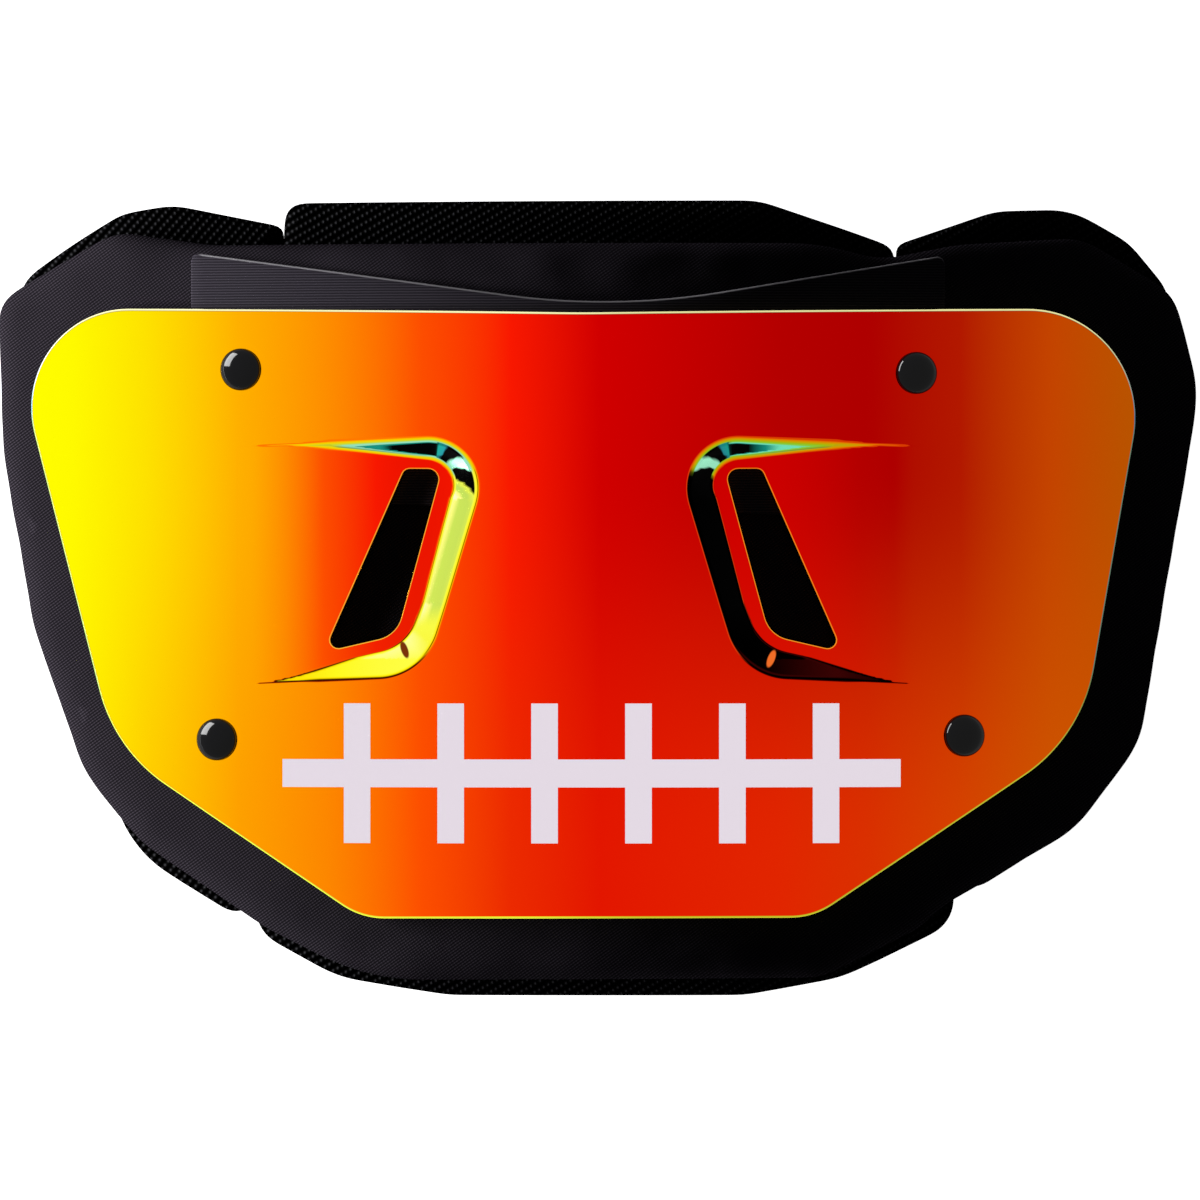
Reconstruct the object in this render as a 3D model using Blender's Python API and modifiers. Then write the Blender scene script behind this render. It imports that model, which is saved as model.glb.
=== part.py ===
"""Football back plate: a curved plate with two vents, riveted over a padded back.

It lies on its back as it would by itself: the plate faces up (+Z), its top edge is towards +Y and
the outer edges of the side pads rest on the surface at Z = 0. Lengths in this file are in millimetres
until a mesh is made. Every layer follows one arch about an axis along Y, a depth is measured from the
plate's outer face towards that axis, and the whole arch leans a little so that both edges rest.
"""

import math
from collections import Counter, namedtuple

import bmesh
import bpy
from mathutils import Matrix, Vector
from mathutils.geometry import delaunay_2d_cdt

MM = 0.001

# The arch that all layers follow, with its crown at X = 0.
ARCH_RADIUS = 340.0

# The face plate, which sits a little to the left of the crown.
PLATE_MIDDLE_X = -5.0
PLATE_WIDTH = 338.0
PLATE_LENGTH = 184.6
PLATE_MIDDLE_Y = -4.0
PLATE_THICKNESS = 2.5
PLATE_CORNER = 23.0
PLATE_RIM_BEVEL = 0.5

# The two vents: a scoop that deepens towards the middle, and a slot in its floor. The floor rises over a
# share of the span, and meets the face at the tip.
SCOOP_SPAN = 70.0
SCOOP_LENGTH = 74.0
SCOOP_NEAR = 30.0
SCOOP_MIDDLE_Y = 11.5
SCOOP_DEPTH = 5.5
SCOOP_CORNER = 13.0
SCOOP_WALL_SLOPE = 0.61
SCOOP_TIP = 0.96
SCOOP_RISE = 0.82
SLOT_CORNER = 3.0

# The rivets and the clearance that every piece keeps to its neighbour.
RIVET_HEAD_RADIUS = 6.35
RIVET_HEAD_HEIGHT = 3.0
RIVET_SHANK_RADIUS = 2.2
RIVET_LIP = 0.3
RIVET_SIDES = 14
DOME_ANGLES = (80, 62, 42, 22, 0)
CLEARANCE = 0.3

# The strap behind the plate. The scoops press into it, wider by the spread.
STRAP_WIDTH = 228.0
STRAP_LENGTH = 78.0
STRAP_MIDDLE_X = -8.8
STRAP_MIDDLE_Y = 65.0
STRAP_THICKNESS = 1.5
STRAP_CORNER = 2.0
STRAP_SPREAD = 1.5

# The nylon cover pad, and the three back pads behind it.
PAD_WIDTH = 366.0
COVER_LENGTH = 224.0
COVER_MIDDLE_Y = -3.5
COVER_THICKNESS = 12.0
COVER_EDGE = 8.0
COVER_SPREAD = 3.5
BACK_LENGTH = 240.0
BACK_THICKNESS = 11.5
BACK_EDGE = 6.5
PUFF_HEIGHT = 2.0
PUFF_REACH = 19.5
PAD_CORNER = 12.0
EDGE_ROOM = 1.3
EDGE_RINGS = (0.0, 0.50, 0.86, 1.0)
CHANNEL = 1.0
PRESSED_FLAT = 3.0
REST_SPLIT = 20.0

# How far apart the points of a mesh lie, how finely an arc is drawn, and how much of a side it may take.
PLATE_GRID = 11.0
PAD_GRID = 17.0
GRID_ROOM = 0.4
OUTLINE_STEP = 9.0
PAD_STEP = 14.0
SCOOP_STEP = 6.0
SLOT_STEP = 7.0
ARC_TURN = 16.0
ARC_CHORD = 1.2
ARC_ROOM = 0.46
FOOT_LIFT = 0.2
LEAST_RUN = 0.6
FLAT_EAR = 0.02
WELD = 0.002

# An outline's corner: its place as shares of the half sizes, and its radius as a share of a corner size.
Corner = namedtuple("Corner", "across along round")

PLATE_CORNERS = (
    Corner(-1.046, 1.000, 1.30),
    Corner(0.000, 0.975, 20.0),
    Corner(1.031, 0.998, 1.43),
    Corner(0.896, -0.410, 2.15),
    Corner(0.411, -0.997, 1.00),
    Corner(-0.395, -1.000, 1.00),
    Corner(-0.841, -0.453, 2.15),
)

# Across counts from the middle line outwards, for the vent on either side.
SCOOP_CORNERS = (
    Corner(1.000, 0.930, 0.05),
    Corner(-0.051, 0.997, 1.00),
    Corner(0.256, -0.932, 1.45),
    Corner(0.957, -1.000, 0.05),
)
SLOT_CORNERS = (
    Corner(0.191, 0.738, 1.00),
    Corner(0.346, 0.740, 0.70),
    Corner(0.686, -0.740, 0.80),
    Corner(0.383, -0.605, 3.00),
)

STRAP_CORNERS = (
    Corner(-1.000, 0.975, 1.0),
    Corner(0.120, 0.560, 110.0),
    Corner(1.000, 0.985, 1.0),
    Corner(1.000, -1.050, 1.0),
    Corner(-1.000, -0.905, 1.0),
)

COVER_CORNERS = (
    Corner(-0.998, 0.843, 0.9),
    Corner(-0.802, 1.026, 1.2),
    Corner(-0.637, 0.986, 4.0),
    Corner(0.360, 0.989, 6.0),
    Corner(0.463, 0.945, 2.0),
    Corner(0.591, 0.987, 3.0),
    Corner(0.799, 1.009, 1.4),
    Corner(0.953, 0.860, 1.2),
    Corner(0.997, 0.599, 4.0),
    Corner(0.896, -0.358, 3.0),
    Corner(0.789, -0.594, 3.0),
    Corner(0.564, -0.801, 4.0),
    Corner(0.527, -0.859, 2.0),
    Corner(0.366, -0.990, 1.5),
    Corner(-0.379, -0.996, 8.0),
    Corner(-0.548, -0.860, 2.0),
    Corner(-0.753, -0.635, 2.5),
    Corner(-0.849, -0.456, 4.0),
    Corner(-0.939, -0.040, 5.0),
    Corner(-0.990, 0.437, 5.0),
)

# The lines of the two channels between the back pads, as shares across at the top and at the bottom.
LEFT_CHANNEL_TOP = -0.519
LEFT_CHANNEL_FOOT = -0.570
RIGHT_CHANNEL_TOP = 0.486
RIGHT_CHANNEL_FOOT = 0.590

LEFT_CORNERS = (
    Corner(-0.968, 0.805, 1.0),
    Corner(-0.790, 0.979, 1.2),
    Corner(-0.706, 0.999, 2.0),
    Corner(LEFT_CHANNEL_TOP, 0.940, 0.6),
    Corner(LEFT_CHANNEL_FOOT, -0.832, 0.8),
    Corner(-0.777, -0.639, 3.0),
    Corner(-0.837, -0.357, 3.0),
    Corner(-0.950, 0.455, 4.0),
)
CENTER_CORNERS = (
    Corner(LEFT_CHANNEL_TOP, 1.000, 0.7),
    Corner(0.264, 1.005, 2.0),
    Corner(RIGHT_CHANNEL_TOP, 0.889, 0.8),
    Corner(RIGHT_CHANNEL_FOOT, -0.820, 1.0),
    Corner(0.400, -0.958, 3.0),
    Corner(0.240, -1.001, 3.0),
    Corner(-0.249, -1.001, 3.0),
    Corner(-0.433, -0.957, 3.0),
    Corner(LEFT_CHANNEL_FOOT, -0.842, 1.0),
)
RIGHT_CORNERS = (
    Corner(RIGHT_CHANNEL_TOP, 0.893, 1.0),
    Corner(0.653, 0.982, 2.0),
    Corner(0.780, 0.989, 2.0),
    Corner(0.879, 0.906, 1.5),
    Corner(0.946, 0.787, 1.2),
    Corner(0.962, 0.506, 4.0),
    Corner(0.866, -0.257, 4.0),
    Corner(0.800, -0.568, 3.0),
    Corner(RIGHT_CHANNEL_FOOT, -0.768, 0.8),
)

Rivet = namedtuple("Rivet", "name across along")
RIVETS = (
    Rivet("rivet_top_left", -0.610, 0.791),
    Rivet("rivet_top_right", 0.594, 0.779),
    Rivet("rivet_bottom_left", -0.653, -0.417),
    Rivet("rivet_bottom_right", 0.680, -0.404),
)


def rounded_outline(corners, middle, half_width, half_length, corner_size, step=OUTLINE_STEP, least=0.0):
    """The closed outline through the corners, each an arc, as points that run anticlockwise.

    No arc is tighter than the least radius, where there is room for it.
    """
    places = [
        Vector((middle[0] + c.across * half_width, middle[1] + c.along * half_length)) for c in corners
    ]
    stretches = []
    for i, corner in enumerate(corners):
        here = places[i]
        before = places[i - 1] - here
        after = places[(i + 1) % len(places)] - here
        turn = math.pi - before.angle(after)
        room = ARC_ROOM * min(before.length, after.length)
        reach = min(max(corner.round * corner_size, least) * math.tan(turn / 2), room)
        radius = reach / math.tan(turn / 2)
        start = here + before.normalized() * reach
        end = here + after.normalized() * reach
        inward = (before.normalized() + after.normalized()).normalized()
        centre = here + inward * math.hypot(radius, reach)
        sides = max(2, min(round(turn / math.radians(ARC_TURN)), round(radius * turn / ARC_CHORD)))
        from_angle = (start - centre).to_2d()
        swing = from_angle.angle_signed((end - centre).to_2d())
        for k in range(sides + 1):
            angle = -swing * k / sides
            cos, sin = math.cos(angle), math.sin(angle)
            spoke = Vector((cos * from_angle.x - sin * from_angle.y, sin * from_angle.x + cos * from_angle.y))
            stretches.append(centre + spoke)
    outline = []
    for i, point in enumerate(stretches):
        following = stretches[(i + 1) % len(stretches)]
        count = max(1, round((following - point).length / step))
        outline += [point.lerp(following, k / count) for k in range(count)]
    area = sum(a.cross(b) for a, b in zip(outline, outline[1:] + outline[:1]))
    return outline if area > 0 else outline[::-1]


def circle(middle, radius, sides=12):
    angles = (2 * math.pi * k / sides for k in range(sides))
    return [Vector((middle[0] + radius * math.cos(a), middle[1] + radius * math.sin(a))) for a in angles]


def inset(outline, distance):
    """The anticlockwise outline moved inwards by the distance, or outwards where it is negative."""
    moved = []
    for i, point in enumerate(outline):
        along = (outline[(i + 1) % len(outline)] - outline[i - 1]).normalized()
        moved.append(point + Vector((-along.y, along.x)) * distance)
    return moved


def is_inside(point, outline):
    found = False
    for a, b in zip(outline, outline[1:] + outline[:1]):
        if (a.y > point.y) != (b.y > point.y):
            if point.x < a.x + (b.x - a.x) * (point.y - a.y) / (b.y - a.y):
                found = not found
    return found


def distance_to(point, outline):
    nearest = math.inf
    for a, b in zip(outline, outline[1:] + outline[:1]):
        along = b - a
        share = max(0.0, min(1.0, (point - a).dot(along) / along.length_squared))
        nearest = min(nearest, (a + along * share - point).length)
    return nearest


def on_arch(point, depth):
    """A point of the plan as it lies on the arch at a depth. The plan's X is true on the plate's face."""
    angle = math.asin(point.x / ARCH_RADIUS)
    radius = ARCH_RADIUS - depth
    return Vector((radius * math.sin(angle), point.y, radius * math.cos(angle) - ARCH_RADIUS))


def plan_of(outline, depth):
    """An outline whose X is true at a depth, as the plan has it."""
    wider = ARCH_RADIUS / (ARCH_RADIUS - depth)
    return [Vector((point.x * wider, point.y)) for point in outline]


def vent_outline(corners, corner_size, side, step):
    """The outline of a scoop or a slot on the side -1 or +1 of the middle line."""
    outline = rounded_outline(
        corners, (SCOOP_NEAR, SCOOP_MIDDLE_Y), SCOOP_SPAN, SCOOP_LENGTH / 2, corner_size, step
    )
    placed = [Vector((PLATE_MIDDLE_X + side * point.x, point.y)) for point in outline]
    return placed if side > 0 else placed[::-1]


SCOOPS = {side: vent_outline(SCOOP_CORNERS, SCOOP_CORNER, side, SCOOP_STEP) for side in (-1, 1)}
SLOTS = {side: vent_outline(SLOT_CORNERS, SLOT_CORNER, side, SLOT_STEP) for side in (-1, 1)}


def floor_depth(point):
    """How deep a scoop's floor lies: full at its inner wall, nothing at its outer tips."""
    outwards = (abs(point.x - PLATE_MIDDLE_X) - SCOOP_NEAR) / SCOOP_SPAN
    return SCOOP_DEPTH * max(0.0, min(1.0, (SCOOP_TIP - outwards) / SCOOP_RISE))


def recess(point, spread=0.0):
    """The depth of the scoops at a point. A layer behind the plate has them wider by the spread."""
    outline = SCOOPS[-1 if point.x < PLATE_MIDDLE_X else 1]
    reach = distance_to(point, outline)
    within = (reach if is_inside(point, outline) else -reach) + spread
    return max(0.0, min(floor_depth(point), SCOOP_WALL_SLOPE * within))


def scoop_lines(spread=0.0):
    """The top and the foot of the scoops' walls, as closed lines that a layer's mesh follows."""
    lines = []
    for outline in SCOOPS.values():
        foot = []
        for i, point in enumerate(outline):
            along = (outline[(i + 1) % len(outline)] - outline[i - 1]).normalized()
            inwards = Vector((-along.y, along.x))
            run = (floor_depth(point) - FOOT_LIFT) / SCOOP_WALL_SLOPE
            foot.append(point + inwards * (max(run, LEAST_RUN) - spread))
        lines += [inset(outline, -spread), foot]
    return lines


def triangles(outline, holes, lines, grid):
    """Points and triangles that fill the outline round its holes and follow the lines."""
    points, edges = [], []
    for loop in [outline, *holes, *lines]:
        first = len(points)
        points += loop
        edges += [(first + k, first + (k + 1) % len(loop)) for k in range(len(loop))]
    bounds = [outline, *holes, *lines]
    low = Vector((min(p.x for p in outline), min(p.y for p in outline)))
    high = Vector((max(p.x for p in outline), max(p.y for p in outline)))
    columns = max(1, round((high.x - low.x) / grid))
    rows = max(1, round((high.y - low.y) / grid))
    for i in range(columns):
        for j in range(rows):
            stagger = 0.25 if j % 2 else 0.75
            point = Vector(
                (
                    low.x + (high.x - low.x) * (i + stagger) / columns,
                    low.y + (high.y - low.y) * (j + 0.5) / rows,
                )
            )
            if is_inside(point, outline) and min(distance_to(point, b) for b in bounds) > GRID_ROOM * grid:
                points.append(point)
    points, _, faces, _, _, _ = delaunay_2d_cdt(points, edges, [], 0, 1e-5)
    kept = []
    for face in faces:
        middle = sum((points[k] for k in face), Vector((0, 0))) / 3
        if is_inside(middle, outline) and not any(is_inside(middle, hole) for hole in holes):
            kept.append(face)
    used = sorted({k for face in kept for k in face})
    place = {k: n for n, k in enumerate(used)}
    return [points[k] for k in used], [[place[k] for k in face] for face in kept]


def without_flat_ears(points, faces):
    """The triangles without those that lie flat along a straight stretch of the boundary."""
    shared = Counter(frozenset((face[k - 1], face[k])) for face in faces for k in range(3))
    kept = []
    for face in faces:
        sides = [(frozenset((face[k - 1], face[k])), points[face[k]] - points[face[k - 1]]) for k in range(3)]
        longest = max(side.length for _, side in sides)
        height = abs(sides[0][1].cross(sides[1][1])) / longest
        free_sides = sum(shared[ends] == 1 for ends, _ in sides)
        if height > FLAT_EAR or free_sides < 2:
            kept.append(face)
    return kept


def material(name, color, roughness, metallic=0.0):
    made = bpy.data.materials.new(name)
    made.use_nodes = True
    shader = made.node_tree.nodes["Principled BSDF"]
    shader.inputs["Base Color"].default_value = (*color, 1.0)
    shader.inputs["Roughness"].default_value = roughness
    shader.inputs["Metallic"].default_value = metallic
    return made


def add_object(name, mesh, look):
    made = bpy.data.objects.new(name, mesh)
    mesh.materials.append(look)
    COLLECTION.objects.link(made)
    made.parent = ROOT
    return made


def add_shell(name, outline, holes, lines, grid, depth_at, thickness, look):
    """A wall that follows the arch: its outer face lies at depth_at, and it thickens inwards."""
    plan, faces = triangles(outline, holes, lines, grid)
    faces = without_flat_ears(plan, faces)
    mesh = bpy.data.meshes.new(name)
    mesh.from_pydata([on_arch(p, depth_at(p)) * MM for p in plan], [], faces)
    made = add_object(name, mesh, look)
    solidify = made.modifiers.new("wall", "SOLIDIFY")
    solidify.thickness = thickness * MM
    solidify.offset = -1.0
    return made


def add_pad(name, outline, lines, front_at, back_at, edge, look):
    """A padded piece: rings round its edge, closed by a front and a back face that follow the arch."""
    body = bmesh.new()

    def ring(height, face_at):
        drawn_in = inset(outline, edge * (1.0 - math.sqrt(1.0 - height**2)))
        placed = []
        for k, point in enumerate(drawn_in):
            centre = (front_at(outline[k]) + back_at(outline[k])) / 2
            depth = centre + (face_at(point) - centre) * height
            placed.append(body.verts.new(on_arch(point, depth) * MM))
        return placed

    def bridge(upper, lower):
        for k in range(len(upper)):
            after = (k + 1) % len(upper)
            body.faces.new((upper[k], lower[k], lower[after], upper[after]))

    front_rings = [ring(height, front_at) for height in EDGE_RINGS]
    back_rings = [front_rings[0]] + [ring(height, back_at) for height in EDGE_RINGS[1:]]
    for lower, upper in zip(front_rings, front_rings[1:]):
        bridge(upper, lower)
    for upper, lower in zip(back_rings, back_rings[1:]):
        bridge(upper, lower)
    rim = inset(outline, edge)
    for face_at, inner_lines, turned in ((front_at, lines, False), (back_at, [], True)):
        plan, faces = triangles(rim, [], inner_lines, PAD_GRID)
        placed = [body.verts.new(on_arch(p, face_at(p)) * MM) for p in plan]
        for face in faces:
            body.faces.new([placed[k] for k in (face[::-1] if turned else face)])
    bmesh.ops.remove_doubles(body, verts=body.verts, dist=WELD * MM)
    mesh = bpy.data.meshes.new(name)
    body.to_mesh(mesh)
    body.free()
    mesh.shade_smooth()
    return add_object(name, mesh, look)


def add_face_plate():
    middle = (PLATE_MIDDLE_X, PLATE_MIDDLE_Y)
    outline = rounded_outline(PLATE_CORNERS, middle, PLATE_WIDTH / 2, PLATE_LENGTH / 2, PLATE_CORNER)
    holes = list(SLOTS.values())
    holes += [circle(place, RIVET_SHANK_RADIUS + CLEARANCE) for place in rivet_places().values()]
    look = material("coated polycarbonate", (0.85, 0.10, 0.01), 0.12, 0.9)
    plate = add_shell(
        "face_plate", outline, holes, scoop_lines(), PLATE_GRID, recess, PLATE_THICKNESS, look
    )
    rim = plate.modifiers.new("rim", "BEVEL")
    rim.width = PLATE_RIM_BEVEL * MM
    rim.segments = 1
    rim.limit_method = "ANGLE"
    rim.angle_limit = math.radians(55)
    return plate


def rivet_places():
    return {
        rivet.name: Vector(
            (
                PLATE_MIDDLE_X + rivet.across * PLATE_WIDTH / 2,
                PLATE_MIDDLE_Y + rivet.along * PLATE_LENGTH / 2,
            )
        )
        for rivet in RIVETS
    }


def add_rivets():
    """Four domed rivets, each a profile turned about the arch's own normal."""
    shank_end = PLATE_THICKNESS + STRAP_THICKNESS + CLEARANCE
    head = RIVET_HEAD_RADIUS
    under_head = -0.4 * CLEARANCE
    dome = [(head * math.cos(a), RIVET_HEAD_HEIGHT * math.sin(a)) for a in map(math.radians, DOME_ANGLES)]
    profile = [
        (0.0, RIVET_HEAD_HEIGHT),
        *dome,
        (head - RIVET_LIP, under_head),
        (RIVET_SHANK_RADIUS, under_head),
        (RIVET_SHANK_RADIUS, -shank_end - CLEARANCE),
        (0.0, -shank_end - CLEARANCE),
    ]
    look = material("black rivet", (0.004, 0.004, 0.005), 0.08)
    for name, place in rivet_places().items():
        mesh = bpy.data.meshes.new(name)
        points = [(radius * MM, 0.0, height * MM) for radius, height in profile]
        mesh.from_pydata(points, [(k, k + 1) for k in range(len(points) - 1)], [])
        rivet = add_object(name, mesh, look)
        rivet.location = on_arch(place, -1.4 * CLEARANCE) * MM
        rivet.rotation_euler.y = math.asin(place.x / ARCH_RADIUS)
        turned = rivet.modifiers.new("turned", "SCREW")
        turned.steps = RIVET_SIDES
        turned.render_steps = RIVET_SIDES
        turned.use_merge_vertices = True
        turned.merge_threshold = 1e-5


def add_mount_strap():
    """The flat strap between the plate and the pad, pierced by the upper rivets."""
    front = PLATE_THICKNESS + CLEARANCE
    outline = rounded_outline(
        STRAP_CORNERS, (STRAP_MIDDLE_X, STRAP_MIDDLE_Y), STRAP_WIDTH / 2, STRAP_LENGTH / 2, STRAP_CORNER
    )
    places = rivet_places()
    holes = [
        circle(places[name], RIVET_SHANK_RADIUS + CLEARANCE)
        for name in ("rivet_top_left", "rivet_top_right")
    ]
    add_shell(
        "mount_strap",
        outline,
        holes,
        scoop_lines(STRAP_SPREAD),
        PLATE_GRID,
        lambda p: front + recess(p, STRAP_SPREAD),
        STRAP_THICKNESS,
        material("ribbed strap", (0.03, 0.03, 0.034), 0.6),
    )


def add_cover_pad():
    """The nylon pad that frames the plate. The scoops and the strap press into its front."""
    front = PLATE_THICKNESS + STRAP_THICKNESS + 2 * CLEARANCE
    outline = rounded_outline(
        COVER_CORNERS,
        (0.0, COVER_MIDDLE_Y),
        PAD_WIDTH / 2,
        COVER_LENGTH / 2,
        PAD_CORNER,
        PAD_STEP,
        EDGE_ROOM * COVER_EDGE,
    )
    outline = plan_of(outline, front + COVER_THICKNESS / 2)
    return add_pad(
        "cover_pad",
        outline,
        scoop_lines(COVER_SPREAD),
        lambda p: front + recess(p, COVER_SPREAD),
        lambda p: front + COVER_THICKNESS,
        COVER_EDGE,
        material("nylon cloth", (0.02, 0.018, 0.022), 0.65),
    )


def add_back_pads():
    """The three pads behind the cover pad, with a channel between each two."""
    front = PLATE_THICKNESS + STRAP_THICKNESS + 3 * CLEARANCE + COVER_THICKNESS
    look = material("mesh cloth", (0.012, 0.012, 0.014), 0.9)
    pads = []
    for name, corners in (
        ("back_pad_left", LEFT_CORNERS),
        ("back_pad_center", CENTER_CORNERS),
        ("back_pad_right", RIGHT_CORNERS),
    ):
        outline = rounded_outline(
            corners,
            (0.0, 0.0),
            PAD_WIDTH / 2,
            BACK_LENGTH / 2,
            PAD_CORNER,
            PAD_STEP,
            EDGE_ROOM * BACK_EDGE,
        )
        outline = inset(plan_of(outline, front + BACK_THICKNESS / 2), CHANNEL / 2)

        def back_at(point, outline=outline):
            within = distance_to(point, outline) if is_inside(point, outline) else 0.0
            return front + BACK_THICKNESS - PUFF_HEIGHT * max(0.0, 1.0 - within / PUFF_REACH) ** 2

        pads.append(add_pad(name, outline, [], lambda p: front, back_at, BACK_EDGE, look))
    return pads


def settle(pads):
    """Tilts the part until it stands on both halves of its side edges, which press flat on the surface."""
    points = [v.co for pad in pads for v in pad.data.vertices]
    least_tilt, most_tilt = 0.0, math.radians(20)
    for _ in range(30):
        tilt = (least_tilt + most_tilt) / 2
        turn = Matrix.Rotation(tilt, 3, "X")
        turned = [(co.y, (turn @ co).z) for co in points]
        upper = min(z for y, z in turned if y > REST_SPLIT * MM)
        lower = min(z for y, z in turned if y < -REST_SPLIT * MM)
        least_tilt, most_tilt = (tilt, most_tilt) if upper < lower else (least_tilt, tilt)
    turned = [turn @ co for co in points]
    surface = min(co.z for co in turned) + PRESSED_FLAT * MM
    for co, placed in zip(points, turned):
        placed.z = max(placed.z, surface)
        co.xyz = turn.transposed() @ placed
    middle_x = (min(co.x for co in turned) + max(co.x for co in turned)) / 2
    middle_y = (min(co.y for co in turned) + max(co.y for co in turned)) / 2
    ROOT.rotation_euler.x = tilt
    ROOT.location = (-middle_x, -middle_y, -surface)


for old in list(bpy.data.objects):
    bpy.data.objects.remove(old)

COLLECTION = bpy.data.collections.new("football_back_plate")
bpy.context.scene.collection.children.link(COLLECTION)
ROOT = bpy.data.objects.new("arch_frame", None)
COLLECTION.objects.link(ROOT)

add_face_plate()
add_rivets()
add_mount_strap()
settle([add_cover_pad(), *add_back_pads()])
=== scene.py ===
import cmath
import math

import bpy
import numpy as np
from mathutils import Matrix, Vector, noise
from mathutils.geometry import delaunay_2d_cdt


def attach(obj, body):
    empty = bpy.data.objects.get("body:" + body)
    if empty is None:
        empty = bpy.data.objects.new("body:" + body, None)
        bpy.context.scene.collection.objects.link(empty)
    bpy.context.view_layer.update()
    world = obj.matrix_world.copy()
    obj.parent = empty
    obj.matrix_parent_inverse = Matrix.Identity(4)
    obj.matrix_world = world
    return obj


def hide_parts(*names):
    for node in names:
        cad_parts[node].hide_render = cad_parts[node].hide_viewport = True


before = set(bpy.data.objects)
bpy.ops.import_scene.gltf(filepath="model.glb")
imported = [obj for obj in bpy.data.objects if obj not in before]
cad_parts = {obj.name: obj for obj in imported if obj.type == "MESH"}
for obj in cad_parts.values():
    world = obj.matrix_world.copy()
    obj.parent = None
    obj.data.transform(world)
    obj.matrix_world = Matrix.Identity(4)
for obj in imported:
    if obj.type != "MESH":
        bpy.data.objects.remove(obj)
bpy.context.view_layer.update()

# How the back plate lies: on the edges of its side pads, with the arch leaning a little towards its foot.
# Every piece is drawn in the arch's own frame, with the crown of the plate's face at the origin, and this
# matrix lays it down. Lengths are in millimetres until a mesh is made.
MM = 0.001
ARCH = 340.0
lie = Matrix.Translation((0.0005823150, -0.0037056655, 0.0662442148))
lie = lie @ Matrix.Rotation(math.radians(6.511390), 4, "X")

# The camera looks straight down on the plate from four metres, through a long lens.
lens = bpy.data.cameras.new("camera")
lens.lens = 400.0
lens.sensor_width = 36.0
lens.clip_end = 60.0
camera = bpy.data.objects.new("camera", lens)
bpy.context.scene.collection.objects.link(camera)
camera.matrix_world = lie @ Matrix.Translation((0.00015, -0.00045, 4.0))
bpy.context.scene.camera = camera

# The studio: a white room with a plain white floor, and one long soft box that stands low at the left, so
# that the left of the pad shows its cloth and the right stays black.
bpy.context.scene.view_settings.view_transform = "Standard"
room = bpy.data.worlds.new("room")
room.use_nodes = True
bpy.context.scene.world = room


def light_seen(tree, seen, elsewhere, socket):
    """Gives a light source one strength for what looks at it or mirrors it, and another for what it lights."""
    rays = tree.nodes.new("ShaderNodeLightPath")
    either = tree.nodes.new("ShaderNodeMath")
    either.operation = "MAXIMUM"
    strength = tree.nodes.new("ShaderNodeMapRange")
    strength.inputs["To Min"].default_value = elsewhere
    strength.inputs["To Max"].default_value = seen
    tree.links.new(rays.outputs["Is Camera Ray"], either.inputs[0])
    tree.links.new(rays.outputs["Is Glossy Ray"], either.inputs[1])
    tree.links.new(either.outputs[0], strength.inputs["Value"])
    tree.links.new(strength.outputs["Result"], socket)


white_walls = room.node_tree.nodes["Background"].inputs
white_walls["Color"].default_value = (1.0, 1.0, 1.0, 1.0)
light_seen(room.node_tree, 1.0, 0.05, white_walls["Strength"])

floor_mesh = bpy.data.meshes.new("floor")
floor_mesh.from_pydata([(-15, -15, 0), (15, -15, 0), (15, 15, 0), (-15, 15, 0)], [], [(0, 1, 2, 3)])
floor = bpy.data.objects.new("floor", floor_mesh)
bpy.context.scene.collection.objects.link(floor)
floor_paint = bpy.data.materials.new("white floor")
floor_paint.use_nodes = True
floor_shader = floor_paint.node_tree.nodes["Principled BSDF"]
floor_shader.inputs["Base Color"].default_value = (0.86, 0.86, 0.86, 1.0)
floor_shader.inputs["Roughness"].default_value = 0.9
floor_shader.inputs["Specular IOR Level"].default_value = 0.0
floor_shader.inputs["Emission Color"].default_value = (1.0, 1.0, 1.0, 1.0)
light_seen(floor_paint.node_tree, 1.0, 0.03, floor_shader.inputs["Emission Strength"])
floor_mesh.materials.append(floor_paint)


soft_box = bpy.data.lights.new("soft_box", "AREA")
soft_box.shape = "RECTANGLE"
soft_box.size, soft_box.size_y, soft_box.energy = 1.6, 0.36, 275.0
soft_box_stand = bpy.data.objects.new("soft_box", soft_box)
bpy.context.scene.collection.objects.link(soft_box_stand)
soft_box_stand.location = (-2.2, 0.1, 0.27)
soft_box_stand.rotation_euler = soft_box_stand.location.to_track_quat("Z", "Y").to_euler()
shaded = bpy.data.collections.new("shaded_from_soft_box")
soft_box_stand.light_linking.receiver_collection = shaded


def shade_from_soft_box(piece):
    """A black flag keeps the soft box off a piece that would mirror it."""
    shaded.objects.link(piece)
    shaded.collection_objects[-1].light_linking.link_state = "EXCLUDE"


# The face plate: a curved sheet of clear polycarbonate, vacuum formed with two scoops round its vents and
# mirror coated, so that its colour runs from yellow through red to amber as its face turns. That colour is
# painted by the way the face turns: partly the coating's own colour, partly painted reflection of the room.
PLATE_X, PLATE_Y = -5.0, -4.0
PLATE_HALF_SIZES = (169.0, 92.3)
PLATE_SHEET = 2.5
PLATE_RIM = 0.9
PLATE_CORNERS = (
    (-1.046, 1.000, 1.30),
    (0.000, 0.975, 20.0),
    (1.031, 0.998, 1.43),
    (0.896, -0.410, 2.15),
    (0.411, -0.997, 1.00),
    (-0.395, -1.000, 1.00),
    (-0.841, -0.453, 2.15),
)
SCOOP_HALF_SIZES = (70.0, 37.0)
SCOOP_NEAR, SCOOP_Y = 30.0, 11.5
SCOOP_DEPTH = 5.5
SCOOP_CORNERS = ((1.060, 0.926, 0.05), (-0.051, 0.997, 1.15), (0.256, -0.932, 1.45), (1.060, -1.010, 0.05))
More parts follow.
